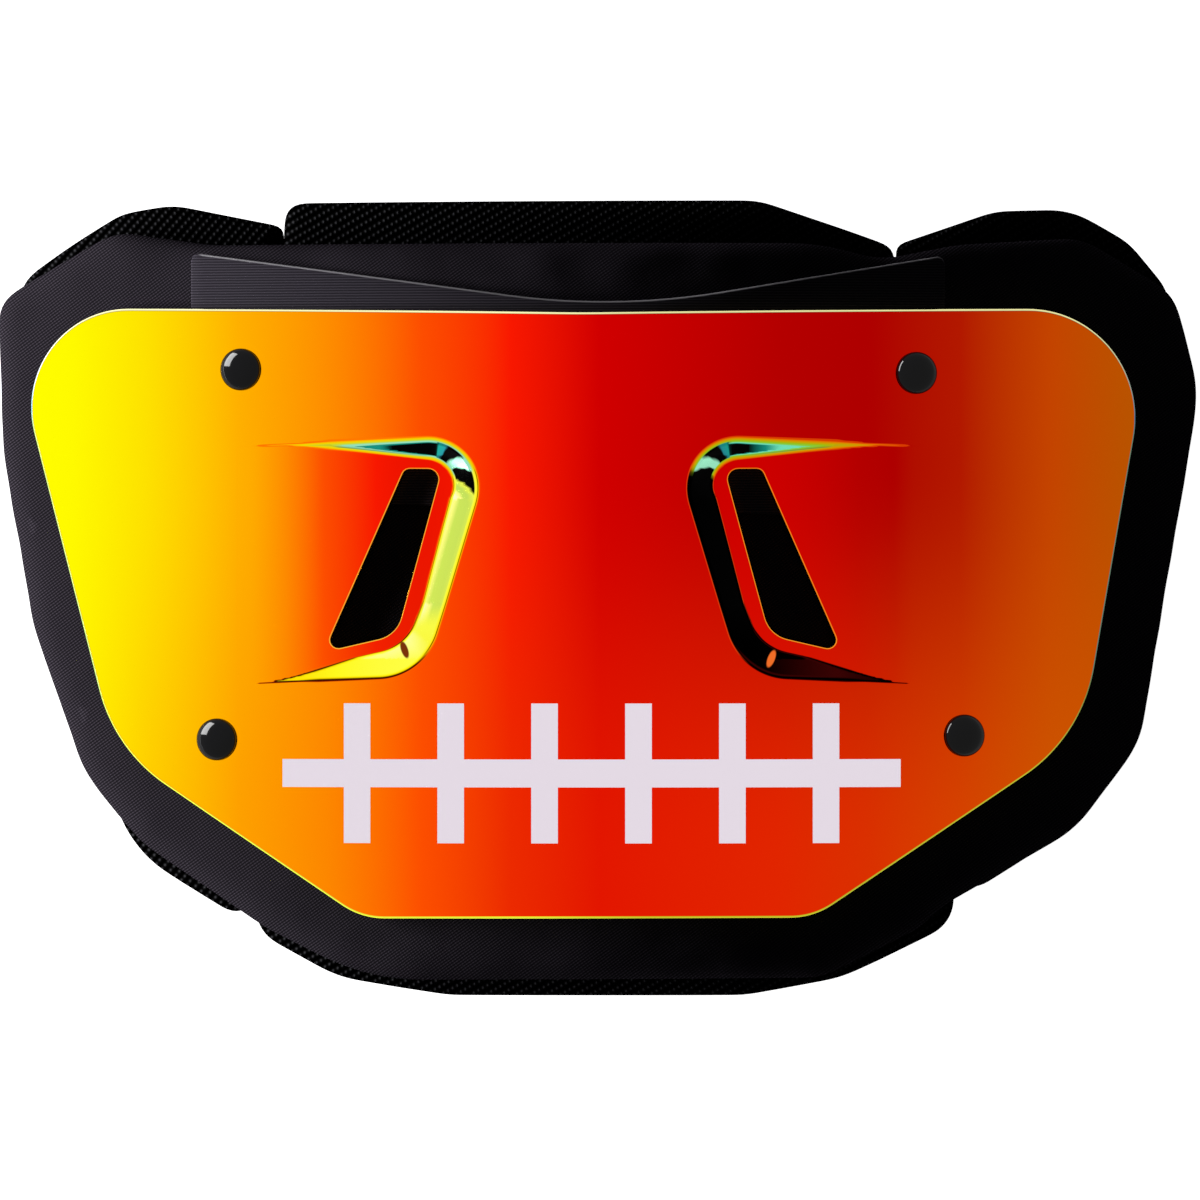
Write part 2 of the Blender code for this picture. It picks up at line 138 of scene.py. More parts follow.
SLOT_CORNERS = ((0.191, 0.738, 1.00), (0.346, 0.740, 0.70), (0.686, -0.740, 0.80), (0.383, -0.605, 3.00))
SLOT_RIM = 0.5


def rounded(corners, middle, half_sizes, corner_size, step, least=0.0):
    """A closed line of even steps through corners, each turned by an arc. A point X, Y is the number X + 1j Y."""
    places = [complex(middle[0] + a * half_sizes[0], middle[1] + b * half_sizes[1]) for a, b, _ in corners]
    line = []
    for k, here in enumerate(places):
        before, after = places[k - 1] - here, places[(k + 1) % len(places)] - here
        turn = math.pi - abs(cmath.phase(after / before))
        room_there = 0.46 * min(abs(before), abs(after))
        reach = min(max(corners[k][2] * corner_size, least) * math.tan(turn / 2), room_there)
        start = here + before / abs(before) * reach
        end = here + after / abs(after) * reach
        inward = before / abs(before) + after / abs(after)
        centre = here + inward / abs(inward) * math.hypot(reach / math.tan(turn / 2), reach)
        swing = cmath.phase((end - centre) / (start - centre))
        line += [centre + (start - centre) * cmath.exp(1j * swing * t) for t in np.linspace(0, 1, 24)]
    line = np.array(line + line[:1])
    length = np.concatenate([[0.0], np.cumsum(abs(np.diff(line)))])
    count = round(length[-1] / step)
    line = np.interp(np.arange(count) * length[-1] / count, length, line)
    area = (line.conj() * np.roll(line, -1)).imag.sum()
    return line if area > 0 else line[::-1]


def inset(loop, distance):
    along = np.roll(loop, -1) - np.roll(loop, 1)
    return loop + 1j * along / abs(along) * distance


def inside(points, loop):
    """How far each point lies inside the loop, and the way there from the loop's nearest point."""
    start, along = loop, np.roll(loop, -1) - loop
    found, ways = [], []
    for some in np.array_split(points, len(points) // 2000 + 1):
        gap = some[:, None] - start
        share = np.clip((gap * along.conj()).real / abs(along) ** 2, 0, 1)
        away = gap - along * share
        near = abs(away).argmin(1)
        away = away[np.arange(len(some)), near]
        with np.errstate(divide="ignore", invalid="ignore"):
            crossing = along.real * gap.imag / along.imag
        passed = ((start.imag > some[:, None].imag) != (np.roll(start, -1).imag > some[:, None].imag)) & (
            gap.real < crossing
        )
        found.append(np.where(passed.sum(1) % 2 == 1, 1.0, -1.0) * abs(away))
        ways.append(away / np.maximum(abs(away), 1e-9))
    return np.concatenate(found), np.concatenate(ways)


def on_arch(points, depth):
    """Where plan points lie on the arch at a depth below the plate's face, in metres."""
    angle = np.arcsin(points.real / ARCH)
    radius = ARCH - depth
    return np.stack([radius * np.sin(angle), points.imag, radius * np.cos(angle) - ARCH], -1) * MM


def at_depth(loop, depth):
    """A loop whose X is true at a depth, as the plan has it."""
    return loop.real * ARCH / (ARCH - depth) + 1j * loop.imag


def filled(rims, extra, spacing, spared=None):
    """Plan points and triangles that fill the first rim round the others."""
    outer = rims[0]
    columns = np.arange(outer.real.min(), outer.real.max(), spacing)
    rows = np.arange(outer.imag.min(), outer.imag.max(), spacing * 0.866)
    grid = (columns[None, :] + 1j * rows[:, None] + spacing / 2 * (np.arange(len(rows)) % 2)[:, None]).ravel()
    grid = grid[inside(grid, outer)[0] > 0.6 * spacing]
    for hole in rims[1:]:
        grid = grid[inside(grid, hole[::-1])[0] < -0.6 * spacing]
    if spared is not None:
        grid = grid[~spared(grid)]
    points = np.concatenate([*rims, extra, grid])
    edges, first = [], 0
    for rim in rims:
        edges += [(first + k, first + (k + 1) % len(rim)) for k in range(len(rim))]
        first += len(rim)
    flat = [Vector((p.real, p.imag)) for p in points]
    placed, _, faces, origin, _, _ = delaunay_2d_cdt(flat, edges, [], 0, 1e-6)
    place = np.array([complex(*p) for p in placed])
    faces = np.array(faces)
    middles = place[faces].mean(1)
    kept = inside(middles, outer)[0] > 0
    for hole in rims[1:]:
        kept &= inside(middles, hole[::-1])[0] < 0
    where = {k: n for n, group in enumerate(origin) for k in group}
    loops, first = [], 0
    for rim in rims:
        loops.append([where[first + k] for k in range(len(rim))])
        first += len(rim)
    return place, faces[kept], loops


def add_piece(name, points, faces, finish):
    mesh = bpy.data.meshes.new(name)
    mesh.from_pydata(points.tolist(), [], faces)
    mesh.shade_smooth()
    mesh.materials.append(finish)
    piece = bpy.data.objects.new(name, mesh)
    bpy.context.scene.collection.objects.link(piece)
    return piece


def lay_down(piece, solid, seat=Matrix()):
    """Lays a piece down as the part lies, in place of its solid."""
    piece.data.transform(lie @ seat)
    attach(piece, "root")
    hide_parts(solid)


def add_shell(name, loops, profile, front, back, spacing, finish, extra=(), spared=None, ease=1.0):
    """A closed sheet or pad: a front and a back face, joined round each loop by rings that follow the profile.

    The profile lists how far in from the loop a ring lies, and its depth as a share of the thickness. The
    ease narrows the rounded edge where the outline turns tightly.
    """
    rims = [inset(loop, ease * profile[min(k, len(profile) - 1)][0][0]) for k, loop in enumerate(loops)]
    plan, faces, ends = filled(rims, np.array(extra, complex), spacing, spared)
    points = [on_arch(plan, front(plan)), on_arch(plan, back(plan))]
    total = 2 * len(plan)
    sides = [tuple(face) for face in faces] + [tuple(len(plan) + face[::-1]) for face in faces]
    for k, loop in enumerate(loops):
        rings = profile[min(k, len(profile) - 1)]
        upper = np.array(ends[k])
        for distance, share in rings[1:-1]:
            ring = inset(loop, ease * distance)
            points.append(on_arch(ring, front(ring) + share * (back(ring) - front(ring))))
            lower = total + np.arange(len(loop))
            total += len(loop)
            sides += list(zip(upper, lower, np.roll(lower, -1), np.roll(upper, -1)))
            upper = lower
        lower = len(plan) + np.array(ends[k])
        sides += list(zip(upper, lower, np.roll(lower, -1), np.roll(upper, -1)))
    sides = [tuple(int(k) for k in side) for side in sides]
    return add_piece(name, np.concatenate(points), sides, finish), plan


def sheet_profile(rim, thickness, turns=3):
    """A sheet's edge, rounded on both sides."""
    angles = np.linspace(0, math.pi / 2, turns + 1)
    upper = [(rim * (1 - math.sin(a)), rim * (1 - math.cos(a)) / thickness) for a in angles]
    return upper + [(distance, 1 - share) for distance, share in upper[::-1]]


def soft_least(a, b, blend):
    near = np.maximum(blend - abs(a - b), 0) / blend
    return np.minimum(a, b) - near**2 * blend / 4


scoop = rounded(SCOOP_CORNERS, (SCOOP_NEAR, SCOOP_Y), SCOOP_HALF_SIZES, 13.0, 0.27)
slot = rounded(SLOT_CORNERS, (SCOOP_NEAR, SCOOP_Y), SCOOP_HALF_SIZES, 3.0, 0.8)


def scoop_depth(points, spread=0.0):
    """The depth of the scoops at plan points. A layer behind the plate has them wider by the spread."""
    folded = abs(points.real - PLATE_X) + 1j * points.imag
    within = inside(folded, scoop)[0]
    outwards = (folded.real - SCOOP_NEAR) / SCOOP_HALF_SIZES[0]
    upwards = (folded.imag - SCOOP_Y) / SCOOP_HALF_SIZES[1]
    rise = np.clip((1.0 - outwards) / 0.95, 0, 1)
    foot = SCOOP_DEPTH * rise**2.3 * (3 - 2 * rise)
    outwards = np.clip(outwards, 0, 1)
    upper = np.clip((upwards - 0.50) / 0.35, 0, 1)
    slope = 0.64 + 0.24 * upper
    slope -= np.clip((-upwards - 0.35) / 0.45, 0, 1) * (0.12 + 0.36 * outwards)
    crest = slope * np.clip(foot, 0.001, 0.9 + 0.3 * upper)
    return -soft_least(-soft_least(foot, slope * (within + spread), 0.8 * crest), 0 * foot, crest)


def by_rings(points):
    """Whether plan points lie by a wall or a rim, where the mesh has rings of its own."""
    folded = abs(points.real - PLATE_X) + 1j * points.imag
    within = inside(folded, scoop)[0]
    by_slot = abs(inside(folded, slot)[0]) < SLOT_RIM + 1.4
    return (within > -2.9) & (within < 14.0) | by_slot | (inside(points, plate_loop)[0] < 3.6)


plate_loop = rounded(PLATE_CORNERS, (PLATE_X, PLATE_Y), PLATE_HALF_SIZES, 23.0, 1.6)
slots = [(PLATE_X + slot)[::-1], PLATE_X - slot.conj()]
rings = [inset(plate_loop, PLATE_RIM + more) for more in (0.5, 1.5)]
rings += [inset(loop, SLOT_RIM + 0.5) for loop in slots]
for distance in np.arange(-2.25, 13.5, 0.45):
    ring = inset(scoop, distance)[::3]
    ring = ring[abs(inside(ring, scoop)[0] - distance) < 0.02]
    ring = ring[inside(ring, slot)[0] < -SLOT_RIM - 1.0]
    rings += [PLATE_X + ring, PLATE_X - ring.conj()]


def new_finish(name, **settings):
    finish = bpy.data.materials.new(name)
    finish.use_nodes = True
    for socket, value in settings.items():
        finish.node_tree.nodes["Principled BSDF"].inputs[socket.replace("_", " ")].default_value = value
    return finish


def node(finish, kind, sockets=(), **settings):
    """Adds a node to a finish. A socket takes a value, or another node's output."""
    made = finish.node_tree.nodes.new("ShaderNode" + kind)
    for key, value in settings.items():
        setattr(made, key, value)
    for socket, value in dict(sockets).items():
        if isinstance(value, bpy.types.NodeSocket):
            finish.node_tree.links.new(value, made.inputs[socket])
        else:
            made.inputs[socket].default_value = value
    return made


def drawn_place(finish):
    """Where the shaded point was drawn, before the piece was laid down."""
    here = node(finish, "TexCoord").outputs["Object"]
    settings = {"Vector": here, "Location": lie.translation, "Rotation": lie.to_euler()}
    return node(finish, "Mapping", settings, vector_type="TEXTURE").outputs[0]


def sum_of(finish, operation, *values):
    return node(finish, "Math", dict(enumerate(values)), operation=operation).outputs[0]


def share_between(finish, value, low, high):
    """0 where the value is low or less, 1 where it is high or more."""
    return node(
        finish, "MapRange", {"Value": value, "From Min": low, "From Max": high}, interpolation_type="SMOOTHSTEP"
    ).outputs[0]


def dye(red, green, blue):
    """A colour of the screen, 0 to 255, as the shader takes it."""
    return tuple(((c / 255 + 0.055) / 1.055) ** 2.4 if c > 10 else c / 3294.6 for c in (red, green, blue)) + (1.0,)


def run_of_dyes(finish, value, stops):
    """Dyes that follow one another as the value grows."""
    made = node(finish, "ValToRGB", {0: value})
    ramp = made.color_ramp
    while len(ramp.elements) < len(stops):
        ramp.elements.new(0.5)
    for element, (position, colour) in zip(ramp.elements, stops):
        element.position = position
    for element, (position, colour) in zip(ramp.elements, stops):
        element.color = dye(*colour)
    return made.outputs[0]


def mixed(finish, share, one, other):
    made = node(finish, "Mix", {"Factor": share}, data_type="RGBA")
    finish.node_tree.links.new(one, made.inputs[6])
    finish.node_tree.links.new(other, made.inputs[7])
    return made.outputs[2]


coating = new_finish("mirror coating", Metallic=1.0, Roughness=0.1)
laid_normal = node(coating, "TexCoord").outputs["Normal"]
drawn_normal = node(coating, "Mapping", {"Vector": laid_normal, "Rotation": lie.to_euler()}, vector_type="TEXTURE")
faces_to = node(coating, "SeparateXYZ", {0: drawn_normal.outputs[0]})
coated_place = drawn_place(coating)
place_on_plate = node(coating, "SeparateXYZ", {0: coated_place})
turn_x, turn_y = faces_to.outputs[0], faces_to.outputs[1]
place_x, place_y = place_on_plate.outputs[0], place_on_plate.outputs[1]

# On the open face the colour follows how far the face turns to the side, and is warmer towards the foot.
# This is the coating's own colour and, in part, painted reflection: turned to the right it is painted darker.
across_face = sum_of(coating, "MULTIPLY_ADD", turn_x, 0.5, 0.5)
UPPER_FACE = (
    (-0.520, (255, 255, 0)),
    (-0.470, (255, 250, 0)),
    (-0.402, (254, 225, 0)),
    (-0.320, (255, 176, 0)),
    (-0.239, (254, 140, 0)),
    (-0.159, (253, 78, 0)),
    (-0.079, (249, 24, 0)),
    (0.000, (208, 0, 0)),
    (0.160, (180, 0, 0)),
    (0.239, (174, 0, 0)),
    (0.320, (178, 24, 0)),
    (0.402, (196, 68, 0)),
    (0.480, (184, 84, 0)),
)
LOWER_FACE = (
    (-0.480, (255, 250, 0)),
    (-0.402, (255, 205, 0)),
    (-0.320, (254, 160, 0)),
    (-0.239, (253, 134, 0)),
    (-0.159, (253, 79, 0)),
    (-0.079, (236, 42, 0)),
    (0.000, (227, 22, 0)),
    (0.160, (225, 37, 0)),
    (0.239, (218, 48, 0)),
    (0.320, (214, 66, 0)),
    (0.402, (206, 84, 0)),
)
upper_face = run_of_dyes(coating, across_face, [((u + 1) / 2, colour) for u, colour in UPPER_FACE])
lower_face = run_of_dyes(coating, across_face, [((u + 1) / 2, colour) for u, colour in LOWER_FACE])
open_face = mixed(coating, share_between(coating, place_y, -0.078, 0.042), lower_face, upper_face)

# On a wall it follows how steep the wall is and which way it faces: the tilt is measured from the arch, and
# the lean is 1 where the wall faces the top of the plate and -1 where it faces the foot. Its bands of yellow,
# mint, teal and black are painted reflections of the room over the coating's own shift of colour, with
# painted highlights where a wall faces the upper left and black where it faces the dark right.
side_tilt = sum_of(coating, "MULTIPLY_ADD", place_x, -1.0 / (ARCH * MM), turn_x)
tilt_squared = sum_of(coating, "MULTIPLY_ADD", turn_y, turn_y, sum_of(coating, "MULTIPLY", side_tilt, side_tilt))
tilt = sum_of(coating, "SQRT", tilt_squared)
lean = sum_of(coating, "DIVIDE", turn_y, sum_of(coating, "ADD", tilt, 0.0001))
lean_up = sum_of(coating, "MULTIPLY_ADD", lean, 0.5, 0.5)
right_side = share_between(coating, place_x, -0.030, 0.020)

# The painted reflection bands cross a wall aslant, because it is a little hollow: they lag near its crest.
above_axis = sum_of(coating, "ADD", place_on_plate.outputs[2], ARCH * MM)
from_axis = node(coating, "CombineXYZ", {"X": place_x, "Z": above_axis})
radius_there = node(coating, "VectorMath", {0: from_axis.outputs[0]}, operation="LENGTH").outputs["Value"]
hollow = node(
    coating,
    "MapRange",
    {"Value": radius_there, "From Min": ARCH * MM, "From Max": (ARCH - SCOOP_DEPTH) * MM, "To Min": -0.22, "To Max": 0.22},
).outputs[0]
side_share = sum_of(coating, "SUBTRACT", 1.0, sum_of(coating, "MULTIPLY", lean, lean))
slanted_lean = sum_of(coating, "MULTIPLY_ADD", hollow, side_share, lean)
slanted_up = sum_of(coating, "MULTIPLY_ADD", slanted_lean, 0.5, 0.5)


def by_side(left_stops, right_stops, value):
    return mixed(
        coating, right_side, run_of_dyes(coating, value, left_stops), run_of_dyes(coating, value, right_stops)
    )


# Towards the end of the upper arm the same wall is painted with a paler reflection of the room.
to_end = sum_of(coating, "ABSOLUTE", sum_of(coating, "SUBTRACT", place_x, PLATE_X * MM))
towards_end = node(
    coating,
    "MapRange",
    {
        "Value": to_end,
        "From Min": SCOOP_NEAR * MM,
        "From Max": (SCOOP_NEAR + SCOOP_HALF_SIZES[0]) * MM,
        "To Max": -0.27,
    },
).outputs[0]
foot_tilt = sum_of(coating, "ADD", tilt, towards_end)

MINT, TEAL, BLACK = (150, 226, 190), (20, 140, 125), (0, 0, 0)
facing_foot = by_side(
    (
        (0.05, (255, 120, 0)),
        (0.12, (255, 175, 0)),
        (0.24, (240, 215, 0)),
        (0.34, (205, 215, 40)),
        (0.40, (170, 220, 120)),
        (0.43, MINT),
        (0.49, MINT),
        (0.515, TEAL),
        (0.545, TEAL),
        (0.556, BLACK),
    ),
    (
        (0.05, (215, 60, 0)),
        (0.13, (228, 110, 0)),
        (0.30, (200, 165, 0)),
        (0.42, (150, 190, 20)),
        (0.50, (130, 205, 70)),
        (0.53, (110, 220, 180)),
        (0.55, (110, 220, 180)),
        (0.565, TEAL),
        (0.585, BLACK),
    ),
    foot_tilt,
)
facing_side = by_side(
    (
        (0.05, (253, 70, 0)),
        (0.12, (255, 150, 0)),
        (0.17, (255, 190, 0)),
        (0.20, (110, 60, 0)),
        (0.24, (110, 60, 0)),
        (0.28, (255, 235, 0)),
        (0.46, (250, 252, 70)),
    ),
    ((0.03, (215, 20, 0)), (0.08, (240, 60, 5)), (0.12, (200, 60, 20)), (0.17, (20, 0, 0)), (0.22, BLACK)),
    tilt,
)
facing_top = by_side(
    (
        (0.04, (250, 70, 0)),
        (0.08, (90, 14, 0)),
        (0.16, (60, 8, 0)),
        (0.22, (255, 225, 0)),
        (0.28, (255, 250, 30)),
        (0.37, (255, 255, 70)),
        (0.46, (255, 255, 150)),
    ),
    ((0.03, (205, 20, 0)), (0.07, (60, 0, 0)), (0.12, BLACK), (0.20, BLACK), (0.27, (56, 4, 4)), (0.36, BLACK)),
    tilt,
)
WALL_TURN = (
    (-0.995, BLACK),
    (-0.985, TEAL),
    (-0.955, (30, 120, 130)),
    (-0.940, BLACK),
    (-0.800, BLACK),
    (-0.740, MINT),
    (-0.560, MINT),
    (-0.500, BLACK),
)
steep = by_side(
    [
        ((turned + 1) / 2, colour)
        for turned, colour in WALL_TURN
        + (
            (-0.080, BLACK),
            (0.020, (235, 245, 80)),
            (0.200, (196, 224, 92)),
            (0.330, (200, 228, 92)),
            (0.400, (255, 255, 130)),
            (0.560, (255, 255, 200)),
            (0.800, (255, 255, 110)),
            (0.960, (255, 248, 10)),
        )
    ],
    [((turned + 1) / 2, colour) for turned, colour in WALL_TURN + ((0.900, BLACK), (0.980, (26, 0, 0)))],
    slanted_up,
)
to_foot = sum_of(coating, "MULTIPLY", lean, -1.0)
gentle = mixed(
    coating,
    share_between(coating, to_foot, 0.25, 0.50),
    mixed(coating, share_between(coating, lean, 0.50, 0.80), facing_side, facing_top),
    facing_foot,
)
wall = mixed(coating, share_between(coating, tilt, 0.46, 0.53), gentle, steep)
wall = mixed(coating, share_between(coating, to_foot, 0.985, 0.995), wall, facing_foot)

# Two small oval painted reflections lie where the lower walls turn.
PAINTED_REFLECTIONS = ((-0.0586, -0.0154, 20.0, (120, 50, 10)), (0.0516, -0.0181, -22.0, (240, 110, 40)))
for mark_x, mark_y, turned, colour in PAINTED_REFLECTIONS:
    settings = {
        "Vector": coated_place,
        "Location": (mark_x, mark_y, 0.0),
        "Rotation": (0.0, 0.0, math.radians(turned)),
        "Scale": (0.0011, 0.0028, 1.0),
    }
    from_mark = node(coating, "Mapping", settings, vector_type="TEXTURE").outputs[0]
    away = node(coating, "VectorMath", {0: from_mark}, operation="LENGTH").outputs["Value"]
    painted_oval = node(coating, "RGB")
    painted_oval.outputs[0].default_value = dye(*colour)
    wall = mixed(coating, share_between(coating, away, 1.1, 0.8), wall, painted_oval.outputs[0])

# A scoop's floor, which faces the middle of the plate, has the colours of the open face.
towards_left = sum_of(coating, "MULTIPLY_ADD", share_between(coating, place_x, -0.006, -0.004), -2.0, 1.0)
to_middle = sum_of(coating, "MULTIPLY", side_tilt, towards_left)
faces_middle = sum_of(coating, "DIVIDE", to_middle, sum_of(coating, "ADD", tilt, 0.0001))
walled = sum_of(
    coating,
    "MULTIPLY",
    share_between(coating, tilt, 0.03, 0.07),
    share_between(coating, faces_middle, 0.75, 0.35),
)
coating_and_painted_reflections = mixed(coating, walled, open_face, wall)

# The cut edge is clear; its bright colours are a painted highlight: white and blue round the top, green at
# the foot, orange in the slots, paler at the left than at the right.
from_middle = sum_of(
    coating,
    "SQRT",
    sum_of(
        coating,
        "MULTIPLY_ADD",
        place_x,
        place_x,
        sum_of(coating, "MULTIPLY", sum_of(coating, "MULTIPLY", place_y, place_y), 1.69),
    ),
)
outer_edge = by_side(
    (
        (0.0, (225, 235, 60)),
        (0.3, (190, 220, 90)),
        (0.5, (120, 190, 215)),
        (0.75, (225, 240, 245)),
        (1.0, (255, 250, 190)),
    ),
    (
        (0.0, (190, 190, 40)),
        (0.3, (110, 130, 60)),
        (0.5, (50, 110, 140)),
        (0.75, (150, 160, 140)),
        (1.0, (230, 225, 160)),
    ),
    lean_up,
)
slot_edge = by_side(
    ((0.0, (255, 150, 40)), (1.0, (255, 190, 60))),
    ((0.0, (235, 120, 20)), (1.0, (255, 160, 40))),
    lean_up,
)
painted_edge_highlight = mixed(coating, share_between(coating, from_middle, 0.103, 0.107), slot_edge, outer_edge)
is_edge = node(coating, "Attribute", attribute_name="cut_edge").outputs["Fac"]
coating_and_painted_reflections = mixed(coating, share_between(coating, is_edge, 0.2, 0.6), coating_and_painted_reflections, painted_edge_highlight)
coating_shader = coating.node_tree.nodes["Principled BSDF"]
coating.node_tree.links.new(coating_and_painted_reflections, coating_shader.inputs["Base Color"])


def plan_place(points):
    """The plan points of a piece's vertices, and their depth below the plate's face."""
    angle = np.arctan2(points[:, 0], points[:, 2] + ARCH * MM)
    radius = np.hypot(points[:, 0], points[:, 2] + ARCH * MM)
    return ARCH * np.sin(angle) + 1j * points[:, 1] / MM, ARCH - radius / MM


def points_of(mesh):
    points = np.empty(len(mesh.vertices) * 3)
    mesh.vertices.foreach_get("co", points)
    return points.reshape(-1, 3)


def true_normals(points):
    """The exact normals of the formed face at plan points, so that the mirror has no facets."""
    step = 0.04
    sides = [on_arch(points + way, scoop_depth(points + way)) for way in (step, -step, 1j * step, -1j * step)]
    normals = np.cross(sides[0] - sides[1], sides[2] - sides[3])
    return normals / np.linalg.norm(normals, axis=1, keepdims=True)


plate, face_plan = add_shell(
    "face_plate_shell",
    [plate_loop, *slots],
    [sheet_profile(PLATE_RIM, PLATE_SHEET), sheet_profile(SLOT_RIM, PLATE_SHEET)],
    scoop_depth,
    lambda points: scoop_depth(points) + PLATE_SHEET,
    2.6,
    coating,
    np.concatenate(rings),
    by_rings,
)
mirror_normals = np.zeros((len(plate.data.vertices), 3))
mirror_normals[: len(face_plan)] = true_normals(face_plan)
plate.data.normals_split_custom_set_from_vertices(mirror_normals.tolist())
cut_edge = plate.data.attributes.new("cut_edge", "FLOAT", "POINT")
cut_edge.data.foreach_set("value", (np.arange(len(mirror_normals)) >= 2 * len(face_plan)).astype(np.float32))
lay_down(plate, "face_plate")
shade_from_soft_box(plate)

# Four domed rivets of black enamelled steel hold the plate to the strap and the pad. A soft box of their own
# at the upper left leaves a pale patch on each dome.
RIVET_HEAD = 6.35
RIVET_DOME = 3.0
RIVET_SHANK = 2.2
RIVET_PLACES = {
    "top_left": (-0.610, 0.791),
    "top_right": (0.594, 0.779),
    "bottom_left": (-0.653, -0.417),
    "bottom_right": (0.680, -0.404),
}
enamel = new_finish("black enamel", Base_Color=dye(2, 2, 3), Roughness=0.07, Specular_IOR_Level=0.12)
dome_line = [(RIVET_HEAD * math.cos(a), RIVET_DOME * math.sin(a)) for a in np.radians(np.arange(84, -1, -7))]
rivet_line = dome_line + [(RIVET_HEAD - 0.3, -0.12), (RIVET_SHANK, -0.12), (RIVET_SHANK, -4.9)]
patch = bpy.data.lights.new("patch_on_rivets", "AREA")
patch.shape = "RECTANGLE"
patch.size, patch.size_y, patch.energy = 1.8, 1.2, 300.0
patch_stand = bpy.data.objects.new("patch_on_rivets", patch)
bpy.context.scene.collection.objects.link(patch_stand)
patch_stand.location = (-2.0, 1.15, 0.68)
patch_stand.rotation_euler = patch_stand.location.to_track_quat("Z", "Y").to_euler()
patched = bpy.data.collections.new("patched")
patch_stand.light_linking.receiver_collection = patched
for place, (across, along) in RIVET_PLACES.items():
    spin = np.exp(2j * math.pi * np.arange(56) / 56)
    turns = [np.stack([(r * spin).real, (r * spin).imag, 0 * spin.real + z], -1) for r, z in rivet_line]
    points = np.concatenate(turns)
    points = np.concatenate([points, [[0, 0, RIVET_DOME], [0, 0, -4.9]]]) * MM
    faces = []
    for row in range(len(rivet_line) - 1):
        for k in range(56):
            a, b = 56 * row + k, 56 * row + (k + 1) % 56
            faces.append((a, a + 56, b + 56, b))
    top, foot = len(points) - 2, len(points) - 1
    last = 56 * (len(rivet_line) - 1)
    faces += [(top, k, (k + 1) % 56) for k in range(56)]
    faces += [(foot, last + (k + 1) % 56, last + k) for k in range(56)]
    rivet = add_piece("rivet_" + place + "_dome", points, faces, enamel)
    centre = complex(PLATE_X + across * PLATE_HALF_SIZES[0], PLATE_Y + along * PLATE_HALF_SIZES[1])
    seat = Matrix.Translation(on_arch(np.array([centre]), np.array([-0.42]))[0])
    seat = seat @ Matrix.Rotation(math.asin(centre.real / ARCH), 4, "Y")
    lay_down(rivet, "rivet_" + place, seat)
    shade_from_soft_box(rivet)
    patched.objects.link(rivet)

# The strap between the plate and the pad: a flat ribbed webbing whose upper edge dips under the plate.
STRAP_CORNERS = (
    (-1.015, 1.010, 1.0),
    (0.120, 0.560, 110.0),
    (1.000, 0.985, 1.0),
    (1.000, -1.050, 1.0),
    (-1.015, -0.905, 1.0),
)
STRAP_MIDDLE = (-8.8, 65.0)
STRAP_HALF_SIZES = (114.0, 39.0)
STRAP_SHEET = 1.5
STRAP_FRONT = 2.8
STRAP_DIP = 15.0
webbing = new_finish("ribbed webbing", Roughness=0.6, Specular_IOR_Level=0.0)
strap_place = drawn_place(webbing)
ribs = node(
    webbing,
    "TexWave",
    {"Vector": strap_place, "Scale": 390.0, "Distortion": 0.4, "Detail": 1.0},
    wave_type="BANDS",
    bands_direction="Y",
)
rib_dye = run_of_dyes(webbing, ribs.outputs[1], ((0.0, (22, 20, 24)), (0.5, (32, 30, 35)), (1.0, (46, 43, 49))))
# The upper edge is painted pale: a painted highlight where light catches it.
is_strap_highlight_edge = node(webbing, "Attribute", attribute_name="strap_highlight_edge").outputs["Fac"]
strap_highlight_dye = node(webbing, "RGB")
strap_highlight_dye.outputs[0].default_value = dye(112, 110, 114)
strap_dye_and_highlight = mixed(webbing, is_strap_highlight_edge, rib_dye, strap_highlight_dye.outputs[0])
webbing.node_tree.links.new(strap_dye_and_highlight, webbing.node_tree.nodes["Principled BSDF"].inputs["Base Color"])
rib_bump = node(webbing, "Bump", {"Strength": 0.3, "Distance": 0.0002, "Height": ribs.outputs[1]})
webbing.node_tree.links.new(rib_bump.outputs[0], webbing.node_tree.nodes["Principled BSDF"].inputs["Normal"])
strap_loop = rounded(STRAP_CORNERS, STRAP_MIDDLE, STRAP_HALF_SIZES, 2.0, 1.6)
strap, strap_plan = add_shell(
    "mount_strap_webbing",
    [strap_loop],
    [sheet_profile(0.6, STRAP_SHEET)],
    lambda points: STRAP_FRONT + scoop_depth(points, 1.5),
    lambda points: STRAP_FRONT + STRAP_SHEET + scoop_depth(points, 1.5),
    2.6,
    webbing,
)
strap_points = plan_place(points_of(strap.data))[0]
from_strap_middle = strap_points - complex(*STRAP_MIDDLE)
on_upper_edge = np.arange(len(strap_points)) >= 2 * len(strap_plan)
on_upper_edge &= (from_strap_middle.imag > STRAP_DIP) & (abs(from_strap_middle.real) < STRAP_HALF_SIZES[0] - 1)
strap_highlight_edge = strap.data.attributes.new("strap_highlight_edge", "FLOAT", "POINT")
strap_highlight_edge.data.foreach_set("value", on_upper_edge.astype(np.float32))
lay_down(strap, "mount_strap")

